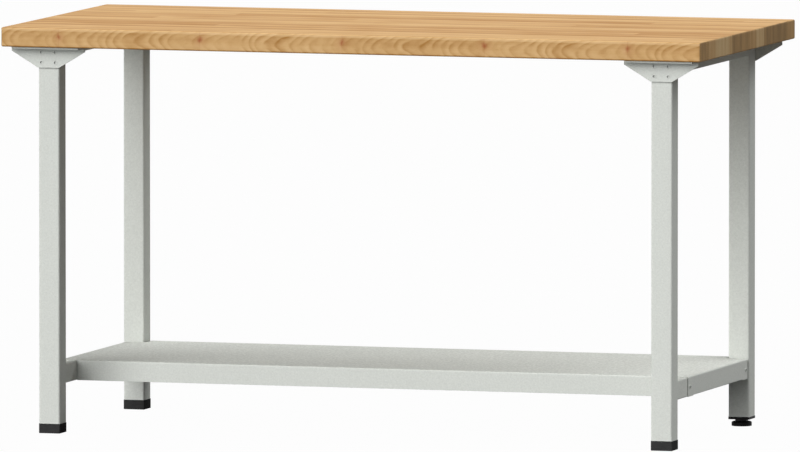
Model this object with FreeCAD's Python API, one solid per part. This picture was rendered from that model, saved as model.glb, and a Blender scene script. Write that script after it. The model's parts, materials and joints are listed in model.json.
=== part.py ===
"""Work table: a beech worktop on a steel leg frame, with a folded sheet-steel shelf and one levelling foot.

Millimetres, +Z up. The origin is on the floor under the middle of the worktop. +X runs along the table
and -Y is the side where the user stands.
"""
import FreeCAD, Part
import math
import os

Vector = FreeCAD.Vector
ORIGIN = Vector(0, 0, 0)
ALONG_X = Vector(1, 0, 0)
ALONG_Y = Vector(0, 1, 0)
ALONG_Z = Vector(0, 0, 1)
HALF_TURN = 180
QUARTER_TURN = 90

# Worktop
top_length = 1500.0
top_depth = 700.0
top_thickness = 40.0
top_height = 840.0
top_corner_radius = 5.0
top_edge_radius = 3.0

# How far the worktop reaches past the legs
end_overhang = 70.0
front_overhang = 35.0
rear_overhang = 53.0

# Legs, square steel tube that stands on feet
leg_width = 45.0
leg_wall = 2.0
leg_corner_radius = 4.0
foot_height = 20.0

# Gussets, bent plates at the heads of the legs
gusset_width = 158.0
gusset_height = 44.0
gusset_tip_height = 8.0
gusset_thickness = 4.0
gusset_bend_radius = 2.0
gusset_lip_depth = 20.0
gusset_lip_front_width = 144.0
gusset_lip_square_depth = 6.0

# Countersunk screws that hold a gusset to its leg
gusset_screw_diameter = 6.0
gusset_screw_head_diameter = 11.0
gusset_screw_head_depth = 2.5
gusset_screw_length = 16.0
gusset_screw_spacing = 30.0
gusset_screw_row_drop = 12.0
gusset_screw_row_spacing = 21.0

# Upper side rails, bent angle
top_rail_height = 30.0
top_rail_flange = 30.0
top_rail_thickness = 3.0
top_rail_bend_radius = 2.0
top_rail_set_back = 2.0

# Countersunk wood screws that hold the worktop from below
wood_screw_diameter = 5.0
wood_screw_head_diameter = 10.0
wood_screw_head_depth = 2.5
wood_screw_length = 28.0
wood_screw_point_length = 5.0
wood_screw_tip_diameter = 1.0
wood_screw_lip_spacing = 90.0

# Lower side rails, rectangular tube
low_rail_width = 36.0
low_rail_height = 40.0
low_rail_wall = 2.0
low_rail_corner_radius = 3.0
low_rail_clear_height = 100.0

# Shelf panel, a folded tray that lies upside down on the lower rails
shelf_thickness = 1.5
shelf_bend_radius = 2.0
shelf_bend_land = 10.0
shelf_set_back = 82.0
shelf_leg_gap = 4.0
shelf_relief_slot = 1.5
shelf_flange_rail_gap = 1.0
shelf_tab_length = 38.0
shelf_tab_drop = 2.0

# Hat-shaped strip under the shelf panel
stiffener_crown_width = 60.0
stiffener_height = 22.0
stiffener_brim_width = 16.0
stiffener_thickness = 1.5
stiffener_bend_radius = 2.0
stiffener_end_gap = 12.0

# Screws through the shelf's end flanges into the lower rails
shelf_screw_diameter = 4.5
shelf_screw_head_diameter = 8.0
shelf_screw_head_height = 2.0
shelf_screw_head_bevel = 1.0
shelf_screw_length = 12.0
shelf_screw_end_distance = 14.0

# Fixed foot caps and the flanged insert, with ribbed plugs that sit in the tubes
cap_proud = 0.3
cap_corner_radius = 2.0
cap_edge_chamfer = 0.8
plug_length = 26.0
plug_core_width = 34.0
plug_core_wall = 3.0
plug_rib_thickness = 1.6
plug_rib_count = 3
plug_corner_chamfer = 2.5
insert_flange_thickness = 5.5

# Levelling foot: spindle with a hexagon collar and a pivot that snaps into the pad, nut and round pad
spindle_diameter = 10.0
spindle_length = 62.0
spindle_point_chamfer = 1.5
collar_width = 24.0
collar_height = 4.4
collar_recess_depth = 5.0
pivot_neck_diameter = 9.0
pivot_button_diameter = 12.0
pivot_button_height = 3.0
nut_width = 17.0
nut_height = 8.0
pad_diameter = 42.0
pad_height = 9.5
pad_floor = 2.0
pad_rim_height = 8.0
pad_crown_diameter = 36.0

# Sides of the screws and of their holes, few because they repeat
screw_sides = 10

# Clearances
screw_clearance = 0.2
sheet_clearance = 0.3
plug_clearance = 0.3
turning_clearance = 0.3
recess_clearance = 0.6
cut_overrun = 1.0
match_tolerance = 0.001

# Places that follow from the sizes above
underside = top_height - top_thickness
leg_x = top_length / 2 - end_overhang - leg_width / 2
front_leg_y = front_overhang + leg_width / 2 - top_depth / 2
rear_leg_y = top_depth / 2 - rear_overhang - leg_width / 2
leg_inner_width = leg_width - 2 * leg_wall
rail_front_y = front_leg_y + leg_width / 2
rail_rear_y = rear_leg_y - leg_width / 2
low_rail_top = low_rail_clear_height + low_rail_height
shelf_top = low_rail_top + shelf_thickness


def block(low, high):
    """Plain block between two opposite corners."""
    size = high - low
    return Part.makeBox(size.x, size.y, size.z, low)


def edges_along(shape, direction):
    """Straight edges of a shape that run along a direction."""
    found = []
    for edge in shape.Edges:
        straight = isinstance(edge.Curve, Part.Line)
        if straight and edge.Curve.Direction.cross(direction).Length < match_tolerance:
            found.append(edge)
    return found


def edges_at_height(shape, height):
    """Edges of a shape that lie in one level plane."""
    found = []
    for edge in shape.Edges:
        bounds = edge.BoundBox
        if bounds.ZLength < match_tolerance and abs(bounds.ZMin - height) < match_tolerance:
            found.append(edge)
    return found


def rounded_block(low, high, direction, radius):
    """Block whose four edges along a direction are rounded."""
    bar = block(low, high)
    return bar.makeFillet(radius, edges_along(bar, direction))


def square_post(width, bottom, top, radius):
    """Upright bar of rounded square section on the Z axis."""
    half = width / 2
    return rounded_block(Vector(-half, -half, bottom), Vector(half, half, top), ALONG_Z, radius)


def prism(corners, path):
    """Straight-sided outline extruded along a path."""
    return Part.Face(Part.makePolygon(corners + corners[:1])).extrude(path)


def ring(sides, radius, height):
    """Corners of a regular polygon round the Z axis."""
    angles = [2 * math.pi * side / sides for side in range(sides)]
    return [Vector(radius * math.cos(angle), radius * math.sin(angle), height) for angle in angles]


def hexagon_bar(width, bottom, top):
    """Upright hexagon bar on the Z axis, with its width across flats."""
    return prism(ring(6, width / math.sqrt(3), bottom), ALONG_Z * (top - bottom))


def turned(profile):
    """Solid turned about the Z axis from a list of (radius, height) corners."""
    corners = [Vector(radius, 0, height) for radius, height in profile]
    return Part.Face(Part.makePolygon(corners + corners[:1])).revolve(ORIGIN, ALONG_Z, 2 * HALF_TURN)


def faceted(profile):
    """Solid with flat sides round the Z axis, from the (radius, height) of each ring of corners upward."""
    rings = [ring(screw_sides, radius, height) for radius, height in profile]
    outlines = [rings[0], rings[-1]]
    for lower, upper in zip(rings, rings[1:]):
        for side in range(screw_sides):
            outlines.append([lower[side - 1], lower[side], upper[side], upper[side - 1]])
    faces = [Part.Face(Part.makePolygon(outline + outline[:1])) for outline in outlines]
    return Part.makeSolid(Part.makeShell(faces))


def bent_sheet(place, path, flange, web, thickness, bend_radius):
    """Sheet bent through a right angle. place(inward, down) measures from the outer corner of the bend."""
    outer = bend_radius + thickness
    outer_mid = outer - outer / math.sqrt(2)
    inner_mid = outer - bend_radius / math.sqrt(2)
    edges = [
        Part.LineSegment(place(0, flange), place(0, outer)),
        Part.Arc(place(0, outer), place(outer_mid, outer_mid), place(outer, 0)),
        Part.LineSegment(place(outer, 0), place(web, 0)),
        Part.LineSegment(place(web, 0), place(web, thickness)),
        Part.LineSegment(place(web, thickness), place(outer, thickness)),
        Part.Arc(place(outer, thickness), place(inner_mid, inner_mid), place(thickness, outer)),
        Part.LineSegment(place(thickness, outer), place(thickness, flange)),
        Part.LineSegment(place(thickness, flange), place(0, flange)),
    ]
    return Part.Face(Part.Wire([edge.toShape() for edge in edges])).extrude(path)


def fused(shapes):
    """One solid from several that meet face to face."""
    return shapes[0].fuse(shapes[1:]).removeSplitter()


def moved(shape, place, turn=0):
    """Copy of a shape, turned about the Z axis by an angle and then moved."""
    copy = shape.copy()
    copy.rotate(ORIGIN, ALONG_Z, turn)
    copy.translate(place)
    return copy


def other_end(shape):
    """Mirror copy of a shape for the left end of the table."""
    return shape.mirror(ORIGIN, ALONG_X)


def save(name, solids):
    """Writes one node, which is one solid or a group of like solids."""
    shape = Part.makeCompound(solids) if isinstance(solids, list) else solids
    shape.exportStep(f"parts/{name}.step")


# Where the legs stand. A rear leg is a front leg turned half round.
leg_places = {
    "front_left": (Vector(-leg_x, front_leg_y, 0), 0),
    "front_right": (Vector(leg_x, front_leg_y, 0), 0),
    "rear_left": (Vector(-leg_x, rear_leg_y, 0), HALF_TURN),
    "rear_right": (Vector(leg_x, rear_leg_y, 0), HALF_TURN),
}
levelling_leg = "rear_right"


def countersunk_screw(clearance):
    """Gusset screw along Z with its head at the top, or the hole for it when a clearance is given."""
    head = gusset_screw_head_diameter / 2 + clearance
    shank = gusset_screw_diameter / 2 + clearance
    end = -gusset_screw_length - clearance
    return faceted([(shank, end), (shank, -gusset_screw_head_depth), (head, 0)])


def on_gusset_screws(shape):
    """Copies of a shape at the four screws of a front leg, turned to face the front."""
    face = -leg_width / 2 - gusset_thickness
    first_row = underside - gusset_screw_row_drop
    copies = []
    for x in (-gusset_screw_spacing / 2, gusset_screw_spacing / 2):
        for z in (first_row, first_row - gusset_screw_row_spacing):
            copy = shape.copy()
            copy.rotate(ORIGIN, ALONG_X, QUARTER_TURN)
            copy.translate(Vector(x, face, z))
            copies.append(copy)
    return copies


def leg():
    """Square tube with the four gusset screw holes in its front wall."""
    outer = square_post(leg_width, foot_height, underside, leg_corner_radius)
    inner = square_post(leg_inner_width, foot_height - cut_overrun, underside + cut_overrun,
                        leg_corner_radius - leg_wall)
    return outer.cut(inner).cut(on_gusset_screws(countersunk_screw(screw_clearance)))


def wood_screw_hole():
    """Hole for a worktop screw, countersunk in a gusset's lip and blind in the worktop."""
    head = wood_screw_head_diameter / 2 + screw_clearance
    shank = wood_screw_diameter / 2 + screw_clearance
    seat = -gusset_thickness
    end = seat + wood_screw_length + screw_clearance
    return faceted([(head, seat), (shank, seat + wood_screw_head_depth), (shank, end)])


def lip_screw_places():
    """Worktop screws of one gusset, from the leg's axis at the worktop's underside."""
    flat_start = gusset_thickness + gusset_bend_radius
    y = -leg_width / 2 - (flat_start + gusset_lip_depth) / 2
    return [Vector(side * wood_screw_lip_spacing / 2, y, underside) for side in (-1, 1)]


def gusset():
    """Plate against the leg's front face, bent forward under the worktop, with tapered ends."""
    half = gusset_width / 2
    face = -leg_width / 2
    section = bent_sheet(
        lambda inward, down: Vector(-half, face - inward, underside - down),
        ALONG_X * gusset_width, gusset_height, gusset_lip_depth, gusset_thickness, gusset_bend_radius)
    tip = underside - gusset_tip_height
    foot = underside - gusset_height
    depth = ALONG_Y * -gusset_lip_depth
    elevation = prism([
        Vector(-half, face, underside), Vector(half, face, underside), Vector(half, face, tip),
        Vector(leg_width / 2, face, foot), Vector(-leg_width / 2, face, foot), Vector(-half, face, tip),
    ], depth)
    square = face - gusset_lip_square_depth
    front = face - gusset_lip_depth
    lip_half = gusset_lip_front_width / 2
    plan = prism([
        Vector(-half, face, foot), Vector(-half, square, foot), Vector(-lip_half, front, foot),
        Vector(lip_half, front, foot), Vector(half, square, foot), Vector(half, face, foot),
    ], ALONG_Z * gusset_height)
    plate = section.common(elevation).common(plan)
    lip_holes = [moved(wood_screw_hole(), place) for place in lip_screw_places()]
    return plate.cut(on_gusset_screws(countersunk_screw(screw_clearance)) + lip_holes)


def top_rail():
    """Right upper side rail: an angle between two legs, its level flange under the worktop."""
    outer_x = leg_x + leg_width / 2 - top_rail_set_back
    return bent_sheet(
        lambda inward, down: Vector(outer_x - inward, rail_front_y, underside - down),
        ALONG_Y * (rail_rear_y - rail_front_y), top_rail_height, top_rail_flange,
        top_rail_thickness, top_rail_bend_radius)


def all_lip_screw_places():
    """Place of every worktop screw, at the worktop's underside."""
    found = []
    for place, turn in leg_places.values():
        rotation = FreeCAD.Rotation(ALONG_Z, turn)
        found += [rotation.multVec(local) + place for local in lip_screw_places()]
    return found


def wood_screw():
    """Wood screw along Z, its head flush with a gusset's lip and its point in the worktop."""
    shank = wood_screw_diameter / 2
    seat = -gusset_thickness
    end = seat + wood_screw_length
    return faceted([
        (wood_screw_head_diameter / 2, seat), (shank, seat + wood_screw_head_depth),
        (shank, end - wood_screw_point_length), (wood_screw_tip_diameter / 2, end)])


def worktop():
    """Board with rounded corners and eased edges, and blind holes for the screws from below."""
    half_length = top_length / 2
    half_depth = top_depth / 2
    low = Vector(-half_length, -half_depth, underside)
    high = Vector(half_length, half_depth, top_height)
    board = rounded_block(low, high, ALONG_Z, top_corner_radius)
    rims = edges_at_height(board, underside) + edges_at_height(board, top_height)
    board = board.makeFillet(top_edge_radius, rims)
    return board.cut([moved(wood_screw_hole(), place) for place in all_lip_screw_places()])


def low_rail_inner_x():
    """Inner face of the right lower side rail, which stands midway on the leg."""
    return leg_x - low_rail_width / 2


def shelf_end_x():
    """Outer face of the shelf's right end flange, outside the rail."""
    return leg_x + low_rail_width / 2 + sheet_clearance + shelf_thickness


shelf_front_y = rail_front_y + shelf_set_back
shelf_rear_y = rear_leg_y + leg_width / 2
shelf_end_rear_y = rail_rear_y - shelf_leg_gap


def shelf_screw_places():
    """Screws in the right end flange, at its outer face."""
    middle = (low_rail_clear_height + low_rail_top) / 2
    front = shelf_front_y + shelf_screw_end_distance
    rear = shelf_end_rear_y - shelf_screw_end_distance
    return [Vector(shelf_end_x(), y, middle) for y in (front, rear)]


def on_shelf_screws(shape):
    """Copies of a shape at the screws of the right end flange, turned to face outward."""
    turned_out = shape.copy()
    turned_out.rotate(ORIGIN, ALONG_Y, QUARTER_TURN)
    return [moved(turned_out, place) for place in shelf_screw_places()]


def shelf_screw_holes():
    """Clearance holes for the right-hand shelf screws, through the flange and the rail's outer wall."""
    radius = shelf_screw_diameter / 2 + screw_clearance
    return on_shelf_screws(faceted([(radius, -shelf_screw_length - screw_clearance), (radius, cut_overrun)]))


def low_rail():
    """Right lower side rail: a rectangular tube between two legs."""
    inner_x = low_rail_inner_x()
    low = Vector(inner_x, rail_front_y, low_rail_clear_height)
    high = Vector(inner_x + low_rail_width, rail_rear_y, low_rail_top)
    wall = Vector(low_rail_wall, -cut_overrun, low_rail_wall)
    outer = rounded_block(low, high, ALONG_Y, low_rail_corner_radius)
    return outer.cut([block(low + wall, high - wall)] + shelf_screw_holes())


def shelf_end_flange():
    """Right end flange of the shelf with its bend. Its lower edge steps down to a screw tab at each end."""
    outer_x = shelf_end_x()
    height = shelf_top - low_rail_clear_height
    bend = shelf_bend_radius + shelf_thickness
    flange = bent_sheet(
        lambda inward, down: Vector(outer_x - inward, shelf_front_y, shelf_top - down),
        ALONG_Y * (shelf_end_rear_y - shelf_front_y), height, bend + shelf_bend_land,
        shelf_thickness, shelf_bend_radius)
    bottom = low_rail_clear_height
    low = Vector(outer_x - bend, shelf_front_y + shelf_tab_length, bottom - cut_overrun)
    high = Vector(outer_x + cut_overrun, shelf_end_rear_y - shelf_tab_length, bottom + shelf_tab_drop)
    return flange.cut([block(low, high)] + shelf_screw_holes())


def shelf_panel():
    """Folded tray: a flat sheet notched round the rear legs, with flanges on all four sides."""
    land = shelf_bend_radius + shelf_thickness + shelf_bend_land
    height = shelf_top - low_rail_clear_height
    under = low_rail_top
    front_half = low_rail_inner_x() - shelf_flange_rail_gap
    rear_half = leg_x - leg_width / 2 - shelf_leg_gap
    slot_half = front_half + shelf_relief_slot
    end_half = shelf_end_x() - land
    front_land = shelf_front_y + land
    rear_land = shelf_rear_y - land
    right = [
        Vector(front_half, front_land, under), Vector(slot_half, front_land, under),
        Vector(slot_half, shelf_front_y, under), Vector(end_half, shelf_front_y, under),
        Vector(end_half, shelf_end_rear_y, under), Vector(rear_half, shelf_end_rear_y, under),
        Vector(rear_half, rear_land, under),
    ]
    left = [Vector(-corner.x, corner.y, corner.z) for corner in reversed(right)]
    flat = prism(right + left, ALONG_Z * shelf_thickness)
    front = bent_sheet(
        lambda inward, down: Vector(-front_half, shelf_front_y + inward, shelf_top - down),
        ALONG_X * 2 * front_half, height, land, shelf_thickness, shelf_bend_radius)
    rear = bent_sheet(
        lambda inward, down: Vector(-rear_half, shelf_rear_y - inward, shelf_top - down),
        ALONG_X * 2 * rear_half, height, land, shelf_thickness, shelf_bend_radius)
    end = shelf_end_flange()
    return fused([flat, front, rear, end, other_end(end)])


def shelf_stiffener():
    """Hat-shaped strip under the middle of the shelf, with its brims against the sheet."""
    half_length = low_rail_inner_x() - stiffener_end_gap
    middle = (shelf_front_y + shelf_rear_y) / 2
    crown_half = stiffener_crown_width / 2
    bottom = low_rail_top - stiffener_height
    wall = bent_sheet(
        lambda inward, down: Vector(-half_length, middle - crown_half + inward, bottom + down),
        ALONG_X * 2 * half_length, stiffener_height - stiffener_thickness, crown_half,
        stiffener_thickness, stiffener_bend_radius)
    brim_edge = middle - crown_half + stiffener_thickness
    brim = block(Vector(-half_length, brim_edge - stiffener_brim_width, low_rail_top - stiffener_thickness),
                 Vector(half_length, brim_edge, low_rail_top))
    near_half = fused([wall, brim])
    return fused([near_half, near_half.mirror(Vector(0, middle, 0), ALONG_Y)])


def shelf_screw():
    """Bevelled pan-head screw along Z, with the seat of its head at the origin."""
    head = shelf_screw_head_diameter / 2
    shank = shelf_screw_diameter / 2
    top = shelf_screw_head_height
    bevel = shelf_screw_head_bevel
    return faceted([
        (shank, -shelf_screw_length), (shank, 0), (head, 0), (head, top - bevel), (head - bevel, top),
    ])


def chamfered_post(width, bottom, top, chamfer):
    """Upright bar on the Z axis, of square section with cut corners."""
    reach = width / 2
    near = reach - chamfer
    quarter = [(reach, -near), (reach, near)]
    corners = []
    for turn in range(4):
        corners += [Vector(x, y, bottom) for x, y in quarter]
        quarter = [(-y, x) for x, y in quarter]
    return prism(corners, ALONG_Z * (top - bottom))


def ribbed_plug():
    """Square plug with ribs round it that grip the inside of a leg."""
    top = foot_height + plug_length
    rib_width = leg_inner_width - 2 * plug_clearance
    pitch = plug_length / plug_rib_count
    pieces = [chamfered_post(plug_core_width, foot_height, top, plug_corner_chamfer)]
    for rib in range(plug_rib_count):
        level = top - rib * pitch
        pieces.append(chamfered_post(rib_width, level - plug_rib_thickness, level, plug_corner_chamfer))
    return pieces


def foot_cap():
    """Fixed foot: a square block under the tube, one piece with its hollow plug."""
    foot = square_post(leg_width + 2 * cap_proud, 0, foot_height, cap_corner_radius)
    foot = foot.makeChamfer(cap_edge_chamfer, edges_at_height(foot, 0))
    hollow_width = plug_core_width - 2 * plug_core_wall
    hollow_top = foot_height + plug_length + cut_overrun
    hollow = chamfered_post(hollow_width, foot_height, hollow_top, plug_corner_chamfer)
    return fused([foot] + ribbed_plug()).cut(hollow)


insert_bottom = foot_height - insert_flange_thickness
nut_bottom = insert_bottom + collar_recess_depth
nut_top = nut_bottom + nut_height
collar_bottom = pad_height + turning_clearance
collar_top = collar_bottom + collar_height
button_bottom = pad_floor + turning_clearance
button_top = button_bottom + pivot_button_height


def levelling_insert():
    """Flanged plug in the tube, with a seat for the nut and a recess that the collar can rise into."""
    flange = square_post(leg_width + 2 * cap_proud, insert_bottom, foot_height, cap_corner_radius)
    body = fused([flange] + ribbed_plug())
    recess_radius = collar_width / math.sqrt(3) + recess_clearance
    recess = Part.makeCylinder(recess_radius, collar_recess_depth + cut_overrun,
                               Vector(0, 0, insert_bottom - cut_overrun))
    seat = hexagon_bar(nut_width + 2 * screw_clearance, insert_bottom, nut_top)
    bore = Part.makeCylinder(spindle_diameter / 2 + recess_clearance, foot_height + plug_length,
                             Vector(0, 0, insert_bottom))
    return body.cut([recess, seat, bore])


def levelling_nut():
    """Hexagon nut in the insert, bored for the spindle."""
    bore = Part.makeCylinder(spindle_diameter / 2 + turning_clearance, nut_height + 2 * cut_overrun,
                             Vector(0, 0, nut_bottom - cut_overrun))
    return hexagon_bar(nut_width, nut_bottom, nut_top).cut(bore)


def levelling_spindle():
    """Stud with a hexagon collar, and under the collar a neck and a button that the pad turns on."""
    stud = spindle_diameter / 2
    neck = pivot_neck_diameter / 2
    button = pivot_button_diameter / 2
    top = collar_bottom + spindle_length
    core = turned([
        (0, button_bottom), (button, button_bottom), (button, button_top), (neck, button_top),
        (neck, collar_top), (stud, collar_top), (stud, top - spindle_point_chamfer),
        (stud - spindle_point_chamfer, top), (0, top),
    ])
    return fused([hexagon_bar(collar_width, collar_bottom, collar_top), core])


def levelling_pad():
    """Round pad with a bevelled crown, and a stepped bore that holds the spindle's button."""
    rim = pad_diameter / 2
    mouth = pivot_neck_diameter / 2 + turning_clearance
    chamber = pivot_button_diameter / 2 + turning_clearance
    shoulder = button_top + turning_clearance
    return turned([
        (0, 0), (rim, 0), (rim, pad_rim_height), (pad_crown_diameter / 2, pad_height),
        (mouth, pad_height), (mouth, shoulder), (chamber, shoulder), (chamber, pad_floor), (0, pad_floor),
    ])


def build():
    """Makes every piece and writes it to its own file."""
    os.makedirs("parts", exist_ok=True)
    save("worktop", worktop())
    tube = leg()
    plate = gusset()
    plate_screws = on_gusset_screws(countersunk_screw(0))
    cap = foot_cap()
    all_plate_screws = []
    for corner, (place, turn) in leg_places.items():
        save(f"leg_{corner}", moved(tube, place, turn))
        save(f"gusset_{corner}", moved(plate, place, turn))
        all_plate_screws += [moved(screw, place, turn) for screw in plate_screws]
        if corner != levelling_leg:
            save(f"foot_cap_{corner}", moved(cap, place, turn))
    save("gusset_screws", all_plate_screws)
    upper = top_rail()
    lower = low_rail()
    save("top_rail_right", upper)
    save("top_rail_left", other_end(upper))
    save("bottom_rail_right", lower)
    save("bottom_rail_left", other_end(lower))
    save("shelf_panel", shelf_panel())
    save("shelf_stiffener", shelf_stiffener())
    right_screws = on_shelf_screws(shelf_screw())
    save("shelf_screws", right_screws + [other_end(screw) for screw in right_screws])
    save("worktop_screws", [moved(wood_screw(), place) for place in all_lip_screw_places()])
    place = leg_places[levelling_leg][0]
    save("levelling_insert", moved(levelling_insert(), place))
    save("levelling_nut", moved(levelling_nut(), place))
    save("levelling_spindle", moved(levelling_spindle(), place))
    save("levelling_pad", moved(levelling_pad(), place))


build()
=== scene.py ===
# %% [markdown]
# # A beech work table
#
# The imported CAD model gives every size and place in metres: +X runs along the table, -Y is the user's side
# and +Z is up. This lesson dresses it. The wooden board, the folded sheets, the tubes and the screws are
# modelled again with soft edges, because a CAD mesh has knife-sharp ones that catch no light.

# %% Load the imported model
import json
import math

import bmesh
import bpy
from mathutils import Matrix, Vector


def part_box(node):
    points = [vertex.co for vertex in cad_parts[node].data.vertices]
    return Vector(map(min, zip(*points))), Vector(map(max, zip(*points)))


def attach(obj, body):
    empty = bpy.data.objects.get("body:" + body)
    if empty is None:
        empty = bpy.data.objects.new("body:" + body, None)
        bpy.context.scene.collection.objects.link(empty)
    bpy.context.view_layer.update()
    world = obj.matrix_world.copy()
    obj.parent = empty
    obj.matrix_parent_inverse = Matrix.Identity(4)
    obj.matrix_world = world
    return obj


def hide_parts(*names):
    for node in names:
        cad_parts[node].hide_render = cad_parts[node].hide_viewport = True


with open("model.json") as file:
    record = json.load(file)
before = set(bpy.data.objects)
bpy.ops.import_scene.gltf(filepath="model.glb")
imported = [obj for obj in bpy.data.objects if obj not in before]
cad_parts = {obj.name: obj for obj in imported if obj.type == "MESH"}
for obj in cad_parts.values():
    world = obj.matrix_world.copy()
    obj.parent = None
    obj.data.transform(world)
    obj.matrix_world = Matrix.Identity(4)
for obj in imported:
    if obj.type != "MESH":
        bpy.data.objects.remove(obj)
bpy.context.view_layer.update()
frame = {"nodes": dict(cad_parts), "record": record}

# %% [markdown]
# ## Camera
#
# The photograph is almost a parallel view: edges that run the same way stay parallel in it. A camera far away
# with a very long lens gives that look, and the distance follows from the width that the picture has to show.

# %% Camera
MM = 0.001
IMAGE_WIDTH_PX = 800
PX_PER_MM = 0.4842
CAMERA_AZIMUTH = math.radians(17.15)
CAMERA_ELEVATION = math.radians(4.71)
LENS_MM = 900
SENSOR_MM = 36
AIM = Vector((1.7 * MM, 0.5 * MM, 420.2 * MM))
CLIP_DISTANCES = 4


def direction(azimuth, elevation):
    """Unit vector from the table to a place round it. Azimuth 0 is in front, positive is to the right."""
    level = math.cos(elevation)
    return Vector((math.sin(azimuth) * level, -math.cos(azimuth) * level, math.sin(elevation)))


view_width = IMAGE_WIDTH_PX / PX_PER_MM * MM
distance = view_width * LENS_MM / SENSOR_MM
camera_data = bpy.data.cameras.new("photo_camera")
camera_data.lens = LENS_MM
camera_data.sensor_width = SENSOR_MM
camera_data.clip_end = CLIP_DISTANCES * distance
camera = bpy.data.objects.new("photo_camera", camera_data)
bpy.context.scene.collection.objects.link(camera)
camera.location = AIM + direction(CAMERA_AZIMUTH, CAMERA_ELEVATION) * distance
camera.rotation_euler = (AIM - camera.location).to_track_quat("-Z", "Y").to_euler()
bpy.context.scene.camera = camera
print("camera distance", round(distance, 2), "m, view width", round(view_width, 4), "m")

# %% [markdown]
# ## Light
#
# Two soft lamps light the table: one low from the front left, which models the front faces, and one high up
# at the rear right, for the board's top and the right-hand faces.

# %% Lamps


def add_sun(name, azimuth, elevation, spread, level):
    """Soft lamp without falloff. A white matt surface that faces it gets the given level."""
    lamp = bpy.data.lights.new(name, "SUN")
    lamp.energy = level * math.pi
    lamp.angle = math.radians(spread)
    sun = bpy.data.objects.new(name, lamp)
    bpy.context.scene.collection.objects.link(sun)
    towards = direction(math.radians(azimuth), math.radians(elevation))
    sun.rotation_euler = towards.to_track_quat("Z", "Y").to_euler()


add_sun("front_lamp", azimuth=-24, elevation=23, spread=55, level=1.06)
add_sun("top_lamp", azimuth=125, elevation=58, spread=60, level=0.68)
print("lamps", [lamp.name for lamp in bpy.data.lights])

# %% [markdown]
# ## Shader sums
#
# A material is a net of nodes. This small class wraps one socket, so that a sum in Python adds the Math node
# for it, and one method adds every other kind of node.

# %% The socket class


class Wire:
    """An output socket in a node tree. Python's operators on it add Math nodes."""

    def __init__(self, tree, socket=None):
        self.tree = tree
        self.socket = socket

    def node(self, kind, settings=None, inputs=None, out=0):
        """Adds a node, sets it up, fills or links its sockets and gives one of its outputs."""
        made = self.tree.nodes.new("ShaderNode" + kind)
        for name, value in (settings or {}).items():
            setattr(made, name, value)
        for name, value in (inputs or {}).items():
            if isinstance(value, Wire):
                self.tree.links.new(value.socket, made.inputs[name])
            else:
                made.inputs[name].default_value = value
        return Wire(self.tree, made.outputs[out])

    def feed(self, shader, name):
        """Links this wire to a socket of a shader."""
        self.tree.links.new(self.socket, shader.inputs[name])

    def maths(self, operation, *values):
        """Adds a Math node."""
        return self.node("Math", {"operation": operation}, dict(enumerate(values)))

    def clamped(self):
        """The value held between 0 and 1."""
        return self.node("Clamp", None, {"Value": self})

    def swing(self, amount):
        """A noise between 0 and 1 turned into a swing of that amount about 0."""
        return (self - 0.5) * amount

    def __add__(self, other):
        return self.maths("ADD", self, other)

    def __radd__(self, other):
        return self.maths("ADD", other, self)

    def __sub__(self, other):
        return self.maths("SUBTRACT", self, other)

    def __rsub__(self, other):
        return self.maths("SUBTRACT", other, self)

    def __mul__(self, other):
        return self.maths("MULTIPLY", self, other)

    def __truediv__(self, other):
        return self.maths("DIVIDE", self, other)

    def __abs__(self):
        return self.maths("ABSOLUTE", self)

    def __floor__(self):
        return self.maths("FLOOR", self)


print("socket class ready")

# %% [markdown]
# Every finish needs the same few things: coordinates that stay with the object, noise, a colour ramp, and
# at the end its links to the shader.

# %% Helpers for finishes


def new_finish(name):
    """New material, a wire to start its nodes from, and its shader."""
    material = bpy.data.materials.new(name)
    material.use_nodes = True
    return material, Wire(material.node_tree), material.node_tree.nodes["Principled BSDF"]


def coordinates(wire, kind="Object"):
    """Place of a point in its object, or another kind of coordinates."""
    return wire.node("TexCoord", None, None, kind)


def part_of(wire, vector, axis):
    """One of the three numbers of a vector."""
    return wire.node("SeparateXYZ", None, {0: vector}, axis)


def noise(wire, place, scale, detail=2, roughness=0.5, distortion=0):
    """Noise between 0 and 1. One scale gives specks, and a scale for each axis gives streaks."""
    scales = scale if isinstance(scale, tuple) else (scale, scale, scale)
    stretched = wire.node("VectorMath", {"operation": "MULTIPLY"}, {0: place, 1: scales})
    return wire.node("TexNoise", None, {
        "Vector": stretched, "Scale": 1, "Detail": detail, "Roughness": roughness, "Distortion": distortion})


def ramp(wire, shade, *stops):
    """Colour that runs through (position, colour) stops."""
    made = wire.node("ValToRGB", None, {0: shade})
    elements = made.socket.node.color_ramp.elements
    elements.remove(elements[1])
    elements[0].position = stops[0][0]
    for position, _ in stops[1:]:
        elements.new(position)
    for element, (_, colour) in zip(elements, stops):
        element.color = (*colour, 1)
    return made


def complete(shader, colour, roughness, relief, gloss, strength, depth):
    """Gives a shader its colour, roughness and gloss, and dents from a relief."""
    colour.feed(shader, "Base Color")
    roughness.feed(shader, "Roughness")
    shader.inputs["Specular IOR Level"].default_value = gloss
    dents = colour.node("Bump", None, {"Strength": strength, "Distance": depth, "Height": relief})
    dents.feed(shader, "Normal")


print("helpers for finishes ready")

# %% [markdown]
# ## World and floor
#
# The world adds a weak even light. The floor and the world are white only to the camera and in reflections,
# so they throw no more light on the table.

# %% World and floor
CAMERA_WHITE = (1, 1, 1, 1)
WORLD_LEVEL = 0.25
FLOOR_GREY = (0.12, 0.12, 0.12, 1)
FLOOR_WHITE_SHARE = 0.98
FLOOR_SIZE = 400


def seen(wire):
    """1 for rays from the camera and in reflections or glass, 0 for the rays that light things."""
    camera_ray, glossy_ray, clear_ray = (
        wire.node("LightPath", None, None, f"Is {kind} Ray") for kind in ("Camera", "Glossy", "Transmission"))
    return (camera_ray + glossy_ray + clear_ray).clamped()


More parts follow.
